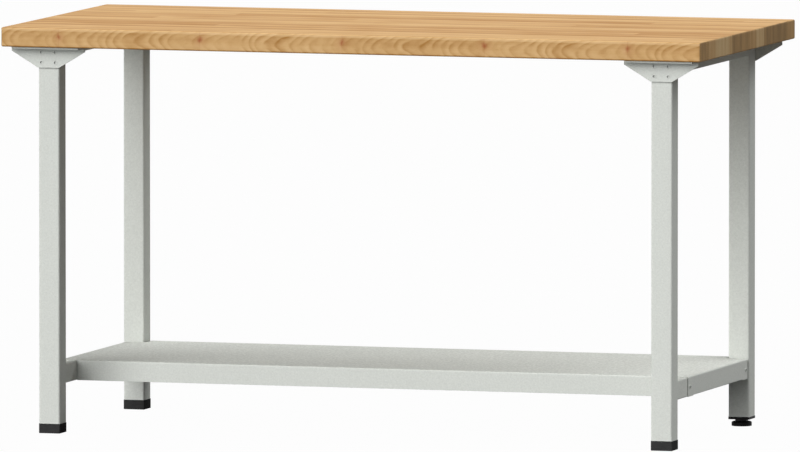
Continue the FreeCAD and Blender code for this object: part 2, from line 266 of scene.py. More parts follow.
world = bpy.data.worlds.new("studio_world")
world.use_nodes = True
bpy.context.scene.world = world
world_wire = Wire(world.node_tree)
background = world.node_tree.nodes["Background"]
background.inputs["Color"].default_value = CAMERA_WHITE
(WORLD_LEVEL + seen(world_wire) * (1 - WORLD_LEVEL)).feed(background, "Strength")

bpy.ops.object.select_all(action="DESELECT")
bpy.ops.mesh.primitive_plane_add(size=FLOOR_SIZE, location=(0, 0, 0))
floor = bpy.context.object
floor.name = "studio_floor"
floor_material, floor_wire, floor_shader = new_finish("studio_floor")
floor_shader.inputs["Base Color"].default_value = FLOOR_GREY
floor_shader.inputs["Roughness"].default_value = 1
floor_shader.inputs["Specular IOR Level"].default_value = 0
glow = floor_wire.node("Emission", None, {"Color": CAMERA_WHITE, "Strength": 1})
matt = Wire(floor_wire.tree, floor_shader.outputs[0])
mixed = floor_wire.node("MixShader", None, {0: seen(floor_wire) * FLOOR_WHITE_SHARE, 1: matt, 2: glow})
mixed.feed(floor_wire.tree.nodes["Material Output"], "Surface")
floor.data.materials.append(floor_material)
bpy.context.scene.view_settings.view_transform = "Standard"
print("floor", FLOOR_SIZE, "m across")

# %% [markdown]
# ## Beech
#
# The board is glued up from beech staves that lie along X. Each stave has its own tone, so the pattern first
# works out which stave a point belongs to. White noise then gives a random number for each stave, and its
# second input, the draw, keeps its uses apart. Noise that is stretched along X makes the streaks.

# %% Beech staves
STAVE_WIDTH = 58.4 * MM
STAVE_LENGTH = 900 * MM
STAVE_TONE_DRAW = 247.0
START_DRAW = 7.0
DARK_EDGE_DRAW = 9.0
LENGTH_TONE_SHARE = 0.4


def white_noise(wire, x, y):
    """One random number between 0 and 1 for each pair of whole numbers."""
    pair = wire.node("CombineXYZ", None, {"X": x, "Y": y})
    return wire.node("TexWhiteNoise", {"noise_dimensions": "2D"}, {"Vector": pair})


def stave_top(wire, place, x, row, across):
    """Shade of the board's top, stave by stave, and the streaks in it."""
    column = math.floor(x / STAVE_LENGTH + white_noise(wire, row, START_DRAW))
    tone = (white_noise(wire, row, column) * LENGTH_TONE_SHARE
            + white_noise(wire, row, STAVE_TONE_DRAW) * (1 - LENGTH_TONE_SHARE))
    shift = wire.node("CombineXYZ", None, {"X": tone * 9, "Y": tone * 5, "Z": tone * 3})
    shifted = wire.node("VectorMath", {"operation": "ADD"}, {0: place, 1: shift})
    streaks = noise(wire, shifted, (5, 150, 150), detail=4, roughness=0.6, distortion=0.4)
    clouds = noise(wire, shifted, (7, 24, 24))
    dark_edge = (1 - across * 2.2).clamped() * white_noise(wire, row, DARK_EDGE_DRAW)
    shade = 0.35 + tone.swing(0.7) + streaks.swing(0.7) + clouds.swing(0.6) - dark_edge * 0.55
    return shade, streaks


print("stave", STAVE_WIDTH, "m wide")

# %% [markdown]
# On the long sides the saw cuts through the year rings at a slant, and they show as soft arches. They fade in
# and out along the side, which is pieced together from lengths with a small knot where two of them meet.
# The upper rim has a painted highlight and the lower rim a painted shade, and the side is painted lighter
# towards the bottom, as if lit from below.

# %% Beech at the long sides
SIDE_PIECE_LENGTH = 305 * MM
SIDE_TONE_DRAW = 21.0
ARCH_SPACING = 23 * MM
ARCH_BEND = 60
ARCH_LEAN = 0.5
BEND_REACH = 20 * MM
WARP_REACH = 60 * MM
FLAME_START = 0.47
FLAME_LENGTH = 60 * MM
# Heights of the painted rim highlight, the painted rim shade and the painted light towards the bottom.
RIM_HIGHLIGHT_LEVEL = 13 * MM
RIM_SHADE_LEVEL = 16 * MM
RIM_FADE = 2.5 * MM
LOW_LIGHT_LEVEL = 4 * MM
LOW_LIGHT_FADE = 14 * MM
KNOT_START = -15 * MM
KNOT_RADIUS = 7 * MM
KNOT_HALO_RADIUS = 21 * MM
KNOT_RISE = 3 * MM
KNOT_RISE_DRAW = 23.0
KNOT_RISE_SPREAD = 4 * MM
KNOT_RAGGEDNESS = 8 * MM


def side_knots(wire, height, step, piece, mottle):
    """Share of knot brown: a core, a halo and a fine joint line where two lengths of wood meet."""
    knot_x = (step - wire.maths("ROUND", step)) * SIDE_PIECE_LENGTH
    rise = white_noise(wire, piece, KNOT_RISE_DRAW).swing(KNOT_RISE_SPREAD)
    knot_z = (height - KNOT_RISE + rise) * 0.9
    reach = wire.maths("SQRT", knot_x * knot_x + knot_z * knot_z) + mottle.swing(KNOT_RAGGEDNESS)
    core = (1 - reach / KNOT_RADIUS).clamped() * 0.6
    halo = (1 - reach / KNOT_HALO_RADIUS).clamped() * 0.22
    return core + halo + (1 - abs(knot_x) * 900).clamped() * 0.16


def long_side(wire, place, x, height, streaks):
    """Shade of the long sides, the share of knot brown in it, and the bend that the year rings follow too."""
    along_side = (x - KNOT_START) / SIDE_PIECE_LENGTH
    piece = math.floor(along_side)
    step = along_side - piece
    piece_tone = white_noise(wire, piece, SIDE_TONE_DRAW)
    bend = noise(wire, place, 22)
    warp = noise(wire, place, (11, 3, 9), detail=1)
    curve = height * height * ARCH_BEND + height * ARCH_LEAN
    arch_step = wire.maths("FRACT", (x - curve + bend * BEND_REACH + warp * WARP_REACH) / ARCH_SPACING)
    arch_fade = (noise(wire, place, (26, 9, 40), detail=1) * 3.4 - 1).clamped()
    middle_share = 0.5 + (1 - abs(step - 0.5) * 2.4).clamped() * 0.5
    arches = ((1 - arch_step * 1.3).clamped() * (arch_step * 5).clamped() - 0.3) * (arch_fade * middle_share)
    flame_reach = (step - FLAME_START) * SIDE_PIECE_LENGTH - curve + bend.swing(BEND_REACH)
    flame = (1 - flame_reach / FLAME_LENGTH).clamped() * (flame_reach * 90).clamped()
    mottle = noise(wire, place, (40, 40, 60), detail=3, roughness=0.6)
    # Painted light: a highlight along the upper rim, a shade along the lower rim, and more light towards the
    # bottom.
    painted_rim_highlight = ((height - RIM_HIGHLIGHT_LEVEL) / RIM_FADE).clamped()
    painted_rim_shade = ((-RIM_SHADE_LEVEL - height) / RIM_FADE).clamped()
    painted_low_light = ((LOW_LIGHT_LEVEL - height) / LOW_LIGHT_FADE).clamped()
    shade = (0.40 + piece_tone.swing(0.14) - arches * 0.62 - flame * (piece_tone * 0.6 + 0.5) * 0.28
             + streaks.swing(0.25) + mottle.swing(0.5) + painted_rim_highlight * 0.42 + painted_low_light * 0.14
             - painted_rim_shade * 0.5)
    return shade, side_knots(wire, height, step, piece, mottle), bend


print("arches", ARCH_SPACING, "m apart")

# %% [markdown]
# The ends show year rings round a pith that lies somewhere else in each stave. They are darker than the rest,
# because end grain drinks the oil, and the staves differ more from each other.

# %% Beech at the ends
RING_SPACING = 3.6 * MM
RING_WAVE = 4 * MM
PITH_ACROSS_DRAW = 3.0
PITH_HEIGHT_DRAW = 5.0
PITH_SPREAD = 120 * MM
END_TONE_DRAW = 11.0
END_DARK = (0.205, 0.137, 0.071)
END_BROWN = (0.40, 0.248, 0.113)
END_LIGHT = (0.50, 0.365, 0.20)


def end_grain(wire, place, row, across, height, bend):
    """Colour of the sawn ends, and their pores."""
    pith_y = (across - white_noise(wire, row, PITH_ACROSS_DRAW)) * STAVE_WIDTH
    pith_z = height + white_noise(wire, row, PITH_HEIGHT_DRAW).swing(PITH_SPREAD)
    radius = wire.maths("SQRT", pith_y * pith_y + pith_z * pith_z) + bend * RING_WAVE
    rings = wire.maths("SINE", radius * (2 * math.pi / RING_SPACING))
    pores = noise(wire, place, (400, 900, 900), detail=1)
    bands = noise(wire, place, (3, 60, 4), detail=3, roughness=0.6)
    stave_tone = white_noise(wire, row, END_TONE_DRAW)
    shade = 0.54 + stave_tone.swing(0.85) + rings * 0.12 + pores.swing(0.4) + bands.swing(1.2)
    return ramp(wire, shade, (0, END_DARK), (0.55, END_BROWN), (1, END_LIGHT)), pores


print("rings", RING_SPACING, "m apart")

# %% [markdown]
# The finish puts the three together by the way a face points. Fine dark flecks are typical of beech, and a
# thin dark line marks each glue joint.

# %% Oiled beech
BOARD_MIDDLE = 820 * MM
BEECH_DARK = (0.36, 0.176, 0.05)
BEECH_MIDDLE = (0.545, 0.335, 0.145)
BEECH_LIGHT = (0.67, 0.45, 0.23)
KNOT_BROWN = (0.33, 0.095, 0.04)


def mixed_colour(wire, share, first, second):
    """First colour, with a share of the second."""
    return wire.node("Mix", {"data_type": "RGBA"}, {0: share, 6: first, 7: second}, 2)


def oiled_beech():
    """Glued beech staves with streaks on top, arches at the sides and rings at the ends."""
    material, wire, shader = new_finish("oiled_beech")
    place = coordinates(wire)
    x, y, z = (part_of(wire, place, axis) for axis in "XYZ")
    normal = coordinates(wire, "Normal")
    end_mask, side_mask = ((abs(part_of(wire, normal, axis)) * 4 - 2).clamped() for axis in "XY")
    row = math.floor(y / STAVE_WIDTH)
    across = y / STAVE_WIDTH - row
    height = z - BOARD_MIDDLE
    top_shade, streaks = stave_top(wire, place, x, row, across)
    side_shade, knots, bend = long_side(wire, place, x, height, streaks)
    end_colour, pores = end_grain(wire, place, row, across, height, bend)
    flecks = (noise(wire, place, (260, 1500, 1500), detail=1) * 14 - 9.2).clamped()
    shade = top_shade + (side_shade - top_shade) * side_mask - flecks * 0.16
    colour = ramp(wire, shade, (0, BEECH_DARK), (0.5, BEECH_MIDDLE), (1, BEECH_LIGHT))
    colour = mixed_colour(wire, (knots * side_mask).clamped(), colour, (*KNOT_BROWN, 1))
    wood = mixed_colour(wire, end_mask, colour, end_colour)
    joint = (abs(across - 0.5) * 200 - 98.8).clamped() * 0.35
    colour = mixed_colour(wire, joint, wood, (*END_DARK, 1))
    roughness = 0.55 + streaks.swing(0.2) + end_mask * 0.16
    relief = streaks * 0.5 - flecks * 0.3 - joint + pores * end_mask
    complete(shader, colour, roughness, relief, gloss=0.03, strength=0.18, depth=0.4 * MM)
    return material


BEECH = oiled_beech()
print(BEECH.name, "nodes", len(BEECH.node_tree.nodes))

# %% [markdown]
# ## Powder coat, plastic and zinc
#
# The steel is powder coated in a light grey with a fine, slightly rough texture, so close up it is speckled
# and has an orange-peel skin. On faces that look up, such as the shelf's, the specks are coarser and a
# painted shade takes away a little of the brightness.

# %% Powder coat
TOP_MOTTLE = 2.8
TOP_PAINTED_SHADE = 0.14
COAT_DARK = (0.52, 0.538, 0.505)
COAT_LIGHT = (0.70, 0.722, 0.682)


def grey_powder_coat():
    """Light-grey textured paint: specks of tone and a fine orange-peel skin."""
    material, wire, shader = new_finish("textured_grey_coat")
    place = coordinates(wire)
    grains = noise(wire, place, 1300, detail=1)
    specks = noise(wire, place, 260, roughness=0.6)
    patches = noise(wire, place, 110)
    mottle = noise(wire, place, (210, 150, 210), roughness=0.6)
    upward = (part_of(wire, coordinates(wire, "Normal"), "Z") * 4 - 3).clamped()
    # Faces that look up get coarser specks and a painted shade that darkens them a little.
    shade = (0.5 + grains.swing(0.8) + specks.swing(0.9) + patches.swing(0.15)
             + (mottle.swing(TOP_MOTTLE) - TOP_PAINTED_SHADE) * upward)
    colour = ramp(wire, shade, (0, COAT_DARK), (1, COAT_LIGHT))
    roughness = 0.65 + specks.swing(0.25)
    relief = grains * 0.5 + specks
    complete(shader, colour, roughness, relief, gloss=0.03, strength=0.3, depth=0.3 * MM)
    return material


COAT = grey_powder_coat()
print(COAT.name, "nodes", len(COAT.node_tree.nodes))

# %% [markdown]
# The feet are black moulded plastic: the caps are greyer and quite matt. The levelling foot and its insert
# get a darker copy of it, a painted shade for the shadow that they stand in.
# Its spindle is blackened steel, and the screws that the frame's paint doesn't cover are zinc plated.

# %% Black plastic and zinc
CAP_DARK = (0.023, 0.023, 0.023)
CAP_LIGHT = (0.060, 0.060, 0.060)
# A darker copy of the black plastic: a painted shade for the levelling foot, which stands in shadow.
SHADED_FOOT_DARK = (0.002, 0.002, 0.002)
SHADED_FOOT_LIGHT = (0.008, 0.008, 0.008)
ZINC_DARK = (0.42, 0.43, 0.44)
ZINC_LIGHT = (0.66, 0.67, 0.68)
BLACKENED = (0.008, 0.008, 0.009)
BLACKENED_WORN = (0.03, 0.03, 0.032)


def black_plastic(name, dark, light, gloss):
    """Moulded black plastic with a fine grain and scuffs that make it less shiny in places."""
    material, wire, shader = new_finish(name)
    place = coordinates(wire)
    grain = noise(wire, place, 1800, detail=1)
    scuffs = noise(wire, place, (90, 90, 260), detail=4, roughness=0.7)
    shade = 0.4 + grain.swing(0.5) + scuffs.swing(0.8)
    colour = ramp(wire, shade, (0, dark), (1, light))
    roughness = 0.5 + scuffs.swing(0.35)
    complete(shader, colour, roughness, grain, gloss, strength=0.25, depth=0.2 * MM)
    return material


def zinc_plated_steel():
    """Dull bright zinc with cloudy patches and faint turning marks."""
    material, wire, shader = new_finish("zinc_plated_steel")
    place = coordinates(wire)
    clouds = noise(wire, place, 420, detail=3)
    marks = noise(wire, place, (500, 500, 5200), detail=1)
    shade = 0.5 + clouds.swing(0.9) + marks.swing(0.3)
    colour = ramp(wire, shade, (0, ZINC_DARK), (1, ZINC_LIGHT))
    shader.inputs["Metallic"].default_value = 1
    roughness = 0.34 + clouds.swing(0.25)
    complete(shader, colour, roughness, marks, gloss=0.5, strength=0.1, depth=0.1 * MM)
    return material


def blackened_steel():
    """Steel with a black oxide skin that is worn to a dull grey in places."""
    material, wire, shader = new_finish("blackened_steel")
    place = coordinates(wire)
    wear = noise(wire, place, (300, 300, 900), detail=4, roughness=0.7)
    grain = noise(wire, place, 2400, detail=1)
    colour = ramp(wire, wear, (0.3, BLACKENED), (0.9, BLACKENED_WORN))
    roughness = 0.42 + wear.swing(0.4)
    complete(shader, colour, roughness, grain, gloss=0.1, strength=0.15, depth=0.1 * MM)
    return material


# The darker plastic is a painted shade for the levelling foot and its insert.
SHADED_FOOT_PLASTIC = black_plastic("black_plastic_painted_shade", SHADED_FOOT_DARK, SHADED_FOOT_LIGHT, gloss=0.06)
FINISHES = {
    "beech": BEECH, "grey_powder_coat": COAT,
    "black_plastic": black_plastic("black_cap_plastic", CAP_DARK, CAP_LIGHT, gloss=0),
    "zinc_plated_steel": zinc_plated_steel(), "blackened_steel": blackened_steel(),
}
print("finishes", list(FINISHES))

# %% [markdown]
# ## Tools for modelling
#
# Blender's operators act on what is selected. So each helper first deselects everything, then picks faces or
# edges by their place or the way they point, as one would click on them, and runs the operator on those.

# %% Tools for selecting and editing
NEAR = 0.05 * MM
ALIGNED = 0.99995
X_AXIS = Vector((1, 0, 0))
Y_AXIS = Vector((0, 1, 0))
Z_AXIS = Vector((0, 0, 1))


def select_only(piece):
    """Selects a piece and nothing else."""
    bpy.ops.object.select_all(action="DESELECT")
    bpy.context.view_layer.objects.active = piece
    piece.select_set(True)


def apply_place(piece):
    """Writes an object's place, turn and scale into its mesh."""
    select_only(piece)
    bpy.ops.object.transform_apply(location=True, rotation=True, scale=True)


def add_block(name, low, high):
    """Cube stretched between two opposite corners."""
    bpy.ops.object.select_all(action="DESELECT")
    bpy.ops.mesh.primitive_cube_add(size=1, location=(low + high) / 2)
    piece = bpy.context.object
    piece.name = name
    piece.scale = high - low
    apply_place(piece)
    return piece


def edit(piece):
    """Enters edit mode with nothing selected."""
    select_only(piece)
    bpy.ops.object.mode_set(mode="EDIT")
    bpy.ops.mesh.select_all(action="DESELECT")


def leave():
    """Goes back to object mode."""
    bpy.ops.object.mode_set(mode="OBJECT")


def pick(piece, kind, test):
    """Selects the faces or edges for which test(middle, way) holds. The way of a face is its normal."""
    bpy.ops.mesh.select_mode(type=kind)
    bpy.ops.mesh.select_all(action="DESELECT")
    mesh = bmesh.from_edit_mesh(piece.data)
    for item in mesh.faces if kind == "FACE" else mesh.edges:
        corners = [corner.co for corner in item.verts]
        way = item.normal if kind == "FACE" else (corners[1] - corners[0]).normalized()
        item.select_set(bool(test(sum(corners, Vector()) / len(corners), way)))
    bmesh.update_edit_mesh(piece.data)


def along(axis):
    """Test for edges that run along an axis."""
    return lambda middle, way: abs(way.dot(axis)) > ALIGNED


def round_edges(piece, test, radius, segments=5):
    """Bevels the edges that pass a test."""
    pick(piece, "EDGE", test)
    bpy.ops.mesh.bevel(offset=radius, segments=segments)


def delete_faces(piece, test):
    """Deletes the faces that pass a test."""
    pick(piece, "FACE", test)
    bpy.ops.mesh.delete(type="FACE")


def extrude(*move):
    """Extrudes what is selected, and moves it."""
    bpy.ops.mesh.extrude_region_move(TRANSFORM_OT_translate={"value": move})


def recalculate():
    """Makes all faces look outward."""
    bpy.ops.mesh.select_all(action="SELECT")
    bpy.ops.mesh.normals_make_consistent(inside=False)


print("tools for selecting and editing ready")

# %% [markdown]
# Most edges are rounded a little at the end, so that they catch the light. Weighted normals then keep the
# flat faces flat, while the small rounds between them are shaded smoothly.

# %% Tools for finished pieces
EDGE_SOFTNESS = 0.4 * MM
SHEET_SOFTNESS = 0.3 * MM
SHARP_ANGLE = math.radians(50)
SMOOTH_ANGLE = math.radians(40)
FACE_WEIGHT = 100
SLIVER = 0.01 * MM
HALF_TURN = (0, 0, math.pi)


def modify(piece, kind, **settings):
    """Adds a modifier and applies it."""
    modifier = piece.modifiers.new(kind.lower(), kind)
    for name, value in settings.items():
        setattr(modifier, name, value)
    select_only(piece)
    bpy.ops.object.modifier_apply(modifier=modifier.name)


def thicken(piece, thickness):
    """Gives a skin its thickness, inwards."""
    modify(piece, "SOLIDIFY", thickness=thickness, offset=-1, use_even_offset=True)


def smooth(piece):
    """Shades a piece smoothly without bending its flat faces."""
    select_only(piece)
    bpy.ops.object.shade_smooth_by_angle(angle=SMOOTH_ANGLE)
    modify(piece, "WEIGHTED_NORMAL", keep_sharp=True, weight=FACE_WEIGHT)


def soften(piece, width=EDGE_SOFTNESS, segments=2):
    """Rounds the sharp edges a little, clears away the slivers that this can leave, and smooths the piece."""
    modify(piece, "BEVEL", width=width, segments=segments, limit_method="ANGLE", angle_limit=SHARP_ANGLE,
           use_clamp_overlap=True)
    edit(piece)
    bpy.ops.mesh.select_all(action="SELECT")
    bpy.ops.mesh.dissolve_degenerate(threshold=SLIVER)
    leave()
    smooth(piece)


def copy_to(piece, name, place, turn=(0, 0, 0)):
    """Copy of a piece with its own mesh, turned and moved."""
    copy = piece.copy()
    copy.data = piece.data.copy()
    copy.name = name
    bpy.context.scene.collection.objects.link(copy)
    copy.rotation_euler = turn
    copy.location = place
    apply_place(copy)
    return copy


def dress(piece, node, slot="grey_powder_coat", body="frame"):
    """Gives a piece its finish and its body, and hides the CAD node that it stands for."""
    if not piece.data.materials:
        piece.data.materials.append(FINISHES[slot])
    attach(piece, body)
    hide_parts(node)


def upright_axis(low, high):
    """Point on the floor under the middle of a box."""
    return Vector(((low.x + high.x) / 2, (low.y + high.y) / 2, 0))


print("tools for finished pieces ready")

# %% [markdown]
# ## Worktop
#
# The board is one block. Its four upright corners are rounded first, and then the rims above and below, as a
# joiner would rout them. Bevelled the other way round, the small rim radius would spoil the corners.

# %% Worktop
low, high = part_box("worktop")
board = add_block("worktop_board", low, high)
edit(board)
round_edges(board, along(Z_AXIS), radius=5 * MM)
round_edges(board, lambda middle, way: min(abs(middle.z - low.z), abs(middle.z - high.z)) < NEAR,
            radius=3 * MM, segments=4)
leave()
smooth(board)
dress(board, "worktop", "beech")
print("board", len(board.data.polygons), "faces")

# %% [markdown]
# ## Tubes
#
# A leg is a square tube. A block loses its two end faces, its long edges are rounded, and Solidify gives the
# skin its wall, inwards, so that the outside keeps its size. The lower side rails are made the same way.

# %% Legs and lower side rails
CORNERS = ("front_left", "front_right", "rear_left", "rear_right")
SIDES = ("left", "right")


def tube(name, low, high, axis, corner_radius, wall):
    """Tube with rounded long edges along an axis, open at both ends."""
    piece = add_block(name, low, high)
    edit(piece)
    round_edges(piece, along(axis), corner_radius)
    delete_faces(piece, lambda middle, normal: abs(normal.dot(axis)) > ALIGNED)
    leave()
    thicken(piece, wall)
    smooth(piece)
    return piece


for corner in CORNERS:
    node = f"leg_{corner}"
    leg = tube(f"leg_tube_{corner}", *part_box(node), Z_AXIS, corner_radius=4 * MM, wall=2 * MM)
    dress(leg, node)
for side in SIDES:
    node = f"bottom_rail_{side}"
    rail = tube(f"bottom_rail_tube_{side}", *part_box(node), Y_AXIS, corner_radius=3 * MM, wall=2 * MM)
    dress(rail, node)
print("tubes", len(CORNERS) + len(SIDES))

# %% [markdown]
# ## Folded sheets
#
# A bent plate is easiest to see as the skin of a box with some sides taken off: an angle keeps two sides, a
# tray keeps five. The fold is bevelled round, and Solidify adds the thickness inwards. The upper side
# rails and the gussets are such angles.

# %% Upper side rails


def folded_angle(name, low, high, first, second):
    """The two sides of a box that face two directions, as a sheet without thickness."""
    piece = add_block(name, low, high)
    edit(piece)
    delete_faces(piece, lambda middle, normal: max(normal.dot(first), normal.dot(second)) < ALIGNED)
    leave()
    return piece


def round_fold(piece, low, high, first, second, radius):
    """Bevels the edge where the two sides of an angle meet."""
    corner = Vector(tuple(
        high[axis] if first[axis] + second[axis] > 0 else low[axis] for axis in range(3)))
    round_edges(piece, lambda middle, way: max(
        abs((middle - corner).dot(first)), abs((middle - corner).dot(second))) < NEAR,
        radius, segments=6)


for side, outward in zip(SIDES, (-X_AXIS, X_AXIS)):
    node = f"top_rail_{side}"
    low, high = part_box(node)
    rail = folded_angle(f"top_rail_angle_{side}", low, high, outward, Z_AXIS)
    edit(rail)
    round_fold(rail, low, high, outward, Z_AXIS, radius=5 * MM)
    leave()
    thicken(rail, thickness=3 * MM)
    soften(rail)
    dress(rail, node)
print("upper side rails", len(rail.data.polygons), "faces each")

# %% [markdown]
# ## Gussets
#
# A gusset is a thick angle: a plate against the leg and a lip under the board. Bisect cuts its tapered
# ends while it is still a skin. The lip reaches a little further forward than the CAD model's, as the light
# on its edge shows in the photograph.

# %% Gusset skin
GUSSET_THICKNESS = 4 * MM
GUSSET_FOLD = 6 * MM
GUSSET_TIP = 10 * MM
LIP_REACH = 7 * MM
LIP_FRONT_WIDTH = 144 * MM
LIP_SQUARE_DEPTH = 6 * MM


def cut_end(piece, way, side, point, other):
    """Cuts the sheet that looks one way along the line between two points, and drops the outer part."""
    pick(piece, "FACE", lambda middle, normal: normal.dot(way) > ALIGNED)
    outward = way.cross(other - point)
    if outward.x * side < 0:
        outward.negate()
    bpy.ops.mesh.bisect(plane_co=point, plane_no=outward, clear_outer=True)


leg_low, leg_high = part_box("leg_front_right")
leg_origin = upright_axis(leg_low, leg_high)
leg_middle = (leg_low.x + leg_high.x) / 2
leg_half = (leg_high.x - leg_low.x) / 2
gusset_low, gusset_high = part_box("gusset_front_right")
gusset_half = (gusset_high.x - gusset_low.x) / 2
skin_low = gusset_low - LIP_REACH * Y_AXIS
gusset = folded_angle("gusset_plate_front_right", skin_low, gusset_high, Y_AXIS, Z_AXIS)
edit(gusset)
for side in (-1, 1):
    tip = Vector((leg_middle + side * gusset_half, gusset_high.y, gusset_high.z - GUSSET_TIP))
    foot = Vector((leg_middle + side * leg_half, gusset_high.y, gusset_low.z))
    cut_end(gusset, Y_AXIS, side, tip, foot)
    start = Vector((leg_middle + side * gusset_half, gusset_high.y - LIP_SQUARE_DEPTH, gusset_high.z))
    end = Vector((leg_middle + side * LIP_FRONT_WIDTH / 2, skin_low.y, gusset_high.z))
    cut_end(gusset, Z_AXIS, side, start, end)
round_fold(gusset, skin_low, gusset_high, Y_AXIS, Z_AXIS, GUSSET_FOLD)
leave()
thicken(gusset, GUSSET_THICKNESS)
print("gusset", len(gusset.data.polygons), "faces before its screw seats")

# %% [markdown]
# The four screws of a gusset and the two wood screws in its lip are countersunk and flush, so a Boolean cuts
# each seat with a cone. The same places are used for the screws. The finished gusset is copied to each leg.

# %% Screw seats and copies
SCREW_SPACING = 30 * MM
SCREW_ROW_DROP = 12 * MM
SCREW_ROW_SPACING = 21 * MM
LIP_SCREW_SPACING = 90 * MM
SEAT_RADIUS = 5.75 * MM
LIP_SEAT_RADIUS = 5.25 * MM
SEAT_DEPTH = 2.6 * MM
ROUND_SIDES = 32

plate_face = gusset_high.y - GUSSET_THICKNESS
lip_face = gusset_high.z - GUSSET_THICKNESS
lip_middle = (gusset_high.y - GUSSET_FOLD + gusset_low.y) / 2
screw_places = []
lip_places = []
for side in (-1, 1):
    screw_x = leg_middle + side * SCREW_SPACING / 2
    for drop in (SCREW_ROW_DROP, SCREW_ROW_DROP + SCREW_ROW_SPACING):
        screw_places.append(Vector((screw_x, plate_face, gusset_high.z - drop)))
    lip_places.append(Vector((leg_middle + side * LIP_SCREW_SPACING / 2, lip_middle, lip_face)))


def cut_out(piece, cutter, finish):
    """Takes a cutter's shape out of a piece, gives the cut faces a finish, and deletes the cutter."""
    apply_place(cutter)
    cutter.data.materials.append(finish)
    modify(piece, "BOOLEAN", operation="DIFFERENCE", object=cutter, solver="EXACT",
           material_mode="TRANSFER")
    bpy.data.objects.remove(cutter)


def cut_seat(piece, place, outward, wide, narrow):
    """Cuts a conical screw seat whose mouth lies in a face that looks outward."""
    depth = wide - narrow
    bpy.ops.object.select_all(action="DESELECT")
    bpy.ops.mesh.primitive_cone_add(
        vertices=ROUND_SIDES, radius1=narrow, radius2=wide + depth, depth=2 * depth, location=place,
        rotation=Z_AXIS.rotation_difference(outward).to_euler())
    cut_out(piece, bpy.context.object, COAT)


def on_leg(corner, places):
    """Places on the front right leg, carried to another leg. A rear leg is a front leg turned half round."""
    axis = upright_axis(*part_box(f"leg_{corner}"))
    sign = -1 if corner.startswith("rear") else 1
    return [axis + Vector((sign * (p.x - leg_origin.x), sign * (p.y - leg_origin.y), p.z)) for p in places]


gusset.data.materials.append(COAT)
for place in screw_places:
    cut_seat(gusset, place, -Y_AXIS, SEAT_RADIUS, SEAT_RADIUS - SEAT_DEPTH)
for place in lip_places:
    cut_seat(gusset, place, -Z_AXIS, LIP_SEAT_RADIUS, LIP_SEAT_RADIUS - SEAT_DEPTH)
soften(gusset)
for corner in CORNERS:
    axis = upright_axis(*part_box(f"leg_{corner}"))
    name = f"gusset_{corner}_plate"
    if corner.startswith("rear"):
        plate = copy_to(gusset, name, axis + leg_origin, HALF_TURN)
    else:
        plate = copy_to(gusset, name, axis - leg_origin)
    dress(plate, f"gusset_{corner}")
bpy.data.objects.remove(gusset)
print("gussets", len(CORNERS))

# %% [markdown]
# ## Shelf
#
# The shelf is a tray, folded down on all four sides and notched round the rear legs. A plane is cut along
# the lines of the notches and the relief slots, those faces are deleted, and the outer edges are extruded
# down to make the flanges. The end flanges step down to a tab at each end, where the screws are.

# %% Shelf skin
SHELF_FOLD = 3.5 * MM
SHELF_LEG_GAP = 4 * MM
SHELF_RAIL_GAP = 1 * MM
RELIEF_SLOT = 1.5 * MM
FOLD_LAND = 10 * MM

shelf_low, shelf_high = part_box("shelf_panel")
rear_leg_low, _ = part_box("leg_rear_right")
rail_low, rail_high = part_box("bottom_rail_right")
front_half = rail_low.x - SHELF_RAIL_GAP
slot_half = front_half + RELIEF_SLOT
rear_half = rear_leg_low.x - SHELF_LEG_GAP
end_rear = rear_leg_low.y - SHELF_LEG_GAP
slot_end = shelf_low.y + SHELF_FOLD + FOLD_LAND


def add_sheet(name, length, front, rear, level):
    """Level sheet without thickness, of a length along X, from a front line to a rear line."""
    bpy.ops.object.select_all(action="DESELECT")
    bpy.ops.mesh.primitive_plane_add(size=1)
    piece = bpy.context.object
    piece.name = name
    piece.scale = (length, rear - front, 1)
    piece.location = (0, (rear + front) / 2, level)
    apply_place(piece)
    return piece


def slice_all(point, normal):
    """Cuts every face along a plane and keeps both sides."""
    bpy.ops.mesh.select_all(action="SELECT")
    bpy.ops.mesh.bisect(plane_co=point, plane_no=normal)


shelf = add_sheet("shelf_tray", shelf_high.x - shelf_low.x, shelf_low.y, shelf_high.y, shelf_high.z)
edit(shelf)
for half in (front_half, slot_half, rear_half):
    for side in (-1, 1):
        slice_all((side * half, 0, 0), X_AXIS)
for line in (slot_end, end_rear):
    slice_all((0, line, 0), Y_AXIS)
delete_faces(shelf, lambda middle, normal: (
    (abs(middle.x) > rear_half and middle.y > end_rear)
    or (front_half < abs(middle.x) < slot_half and middle.y < slot_end)))
leave()
print("shelf", len(shelf.data.polygons), "faces before its flanges")

# %% [markdown]
# The flanges hang from the front, rear and end edges of the flat sheet. One test picks these edges twice: to
# pull them down, and later to round the folds.

# %% Shelf flanges
TAB_LENGTH = 38 * MM
TAB_DROP = 2 * MM


def on_fold(middle, way):
    """Edges of the flat sheet that a flange hangs from."""
    if abs(middle.z - shelf_high.z) > NEAR:
        return False
    front = abs(middle.y - shelf_low.y) < NEAR and abs(middle.x) < front_half
    return front or abs(middle.y - shelf_high.y) < NEAR or abs(abs(middle.x) - shelf_high.x) < NEAR


def face_skin(piece, way):
    """Turns the faces of a skin over when most of them look away from a direction."""
    if sum(face.normal.dot(way) * face.area for face in piece.data.polygons) < 0:
        edit(piece)
        bpy.ops.mesh.select_all(action="SELECT")
        bpy.ops.mesh.flip_normals()
        leave()


